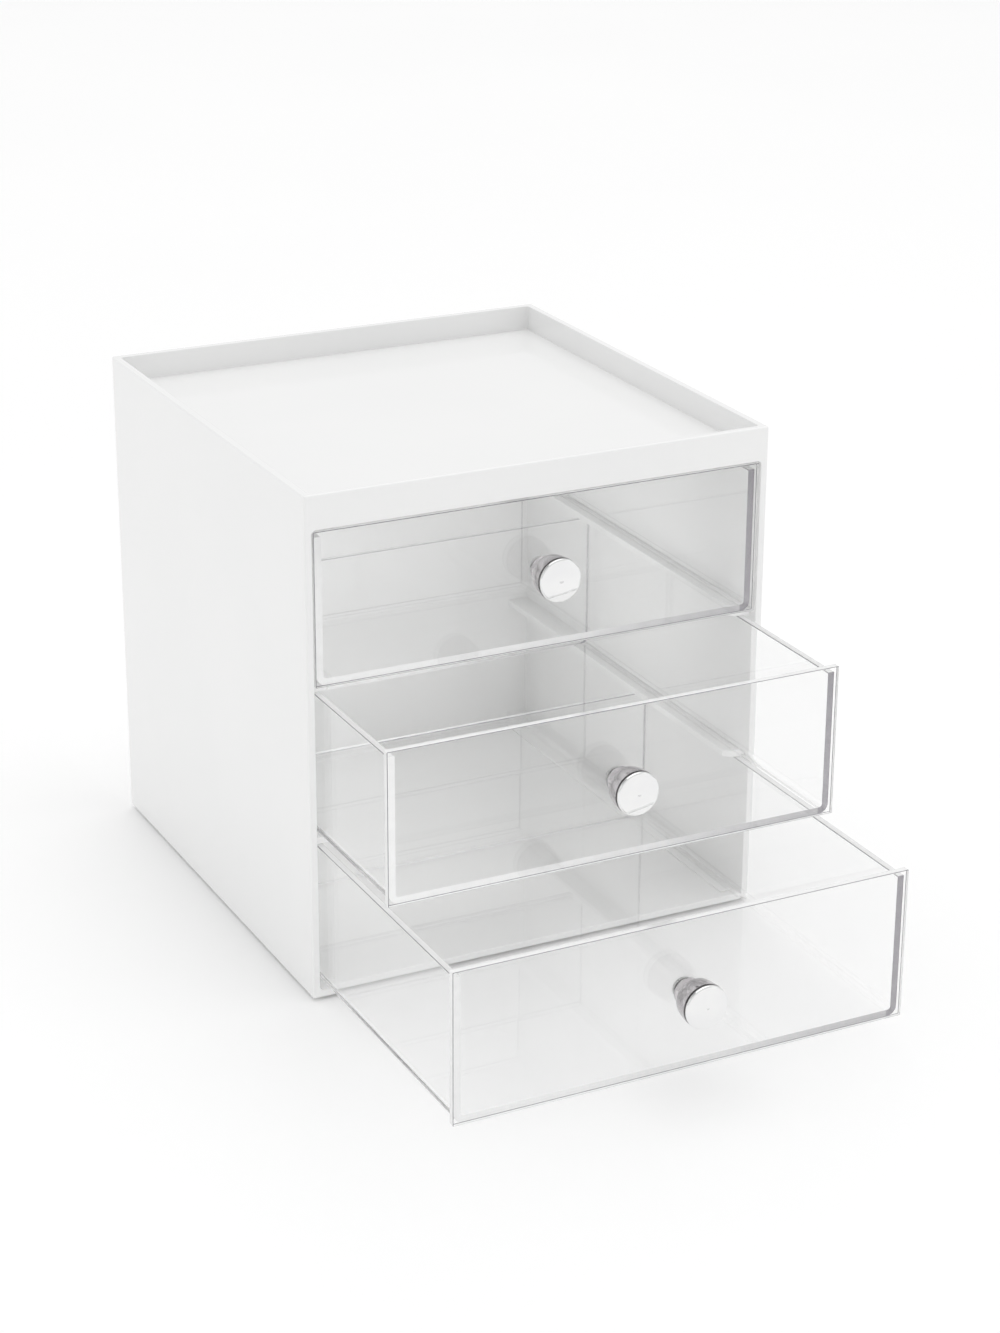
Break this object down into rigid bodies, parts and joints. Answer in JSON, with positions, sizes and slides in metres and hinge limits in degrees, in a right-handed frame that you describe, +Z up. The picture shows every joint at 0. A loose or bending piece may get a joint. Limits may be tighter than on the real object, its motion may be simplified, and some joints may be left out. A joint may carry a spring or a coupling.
{
  "type": "three-drawer vanity organiser",
  "caption": "Cube-like white vanity organiser with a recessed top tray and clear acrylic drawers that slide out on round chrome knobs.",
  "frame": {"origin": "on the surface the organiser stands on, under the shell's centre, in the plane of the four feet's undersides", "axes": "+Z up, +X to the right seen from the front, the drawers open towards -Y"},
  "size_m": [0.165, 0.2815, 0.1732],
  "materials": {
    "shell_white": "opaque white, high gloss",
    "drawer_clear": "clear polished acrylic",
    "knob_chrome": "polished chrome plate",
    "screw_steel": "zinc-plated steel",
    "foot_clear": "translucent soft silicone"
  },
  "bodies": {
    "shell": {"outer_shell": "shell_white", "foot_front_left": "foot_clear", "foot_front_right": "foot_clear", "foot_rear_left": "foot_clear", "foot_rear_right": "foot_clear"},
    "top_drawer": {"top_drawer_tray": "drawer_clear", "top_drawer_front": "drawer_clear", "top_drawer_back": "drawer_clear", "top_knob": "knob_chrome", "top_knob_screw": "screw_steel"},
    "middle_drawer": {"middle_drawer_tray": "drawer_clear", "middle_drawer_front": "drawer_clear", "middle_drawer_back": "drawer_clear", "middle_knob": "knob_chrome", "middle_knob_screw": "screw_steel"},
    "bottom_drawer": {"bottom_drawer_tray": "drawer_clear", "bottom_drawer_front": "drawer_clear", "bottom_drawer_back": "drawer_clear", "bottom_knob": "knob_chrome", "bottom_knob_screw": "screw_steel"}
  },
  "joints": [
    {"name": "top_slide", "type": "slide", "parent": "shell", "child": "top_drawer", "axis": [0, -1, 0], "range_m": [0, 0.12]},
    {"name": "middle_slide", "type": "slide", "parent": "shell", "child": "middle_drawer", "axis": [0, -1, 0], "range_m": [-0.053, 0.067]},
    {"name": "bottom_slide", "type": "slide", "parent": "shell", "child": "bottom_drawer", "axis": [0, -1, 0], "range_m": [-0.098, 0.022]}
  ]
}
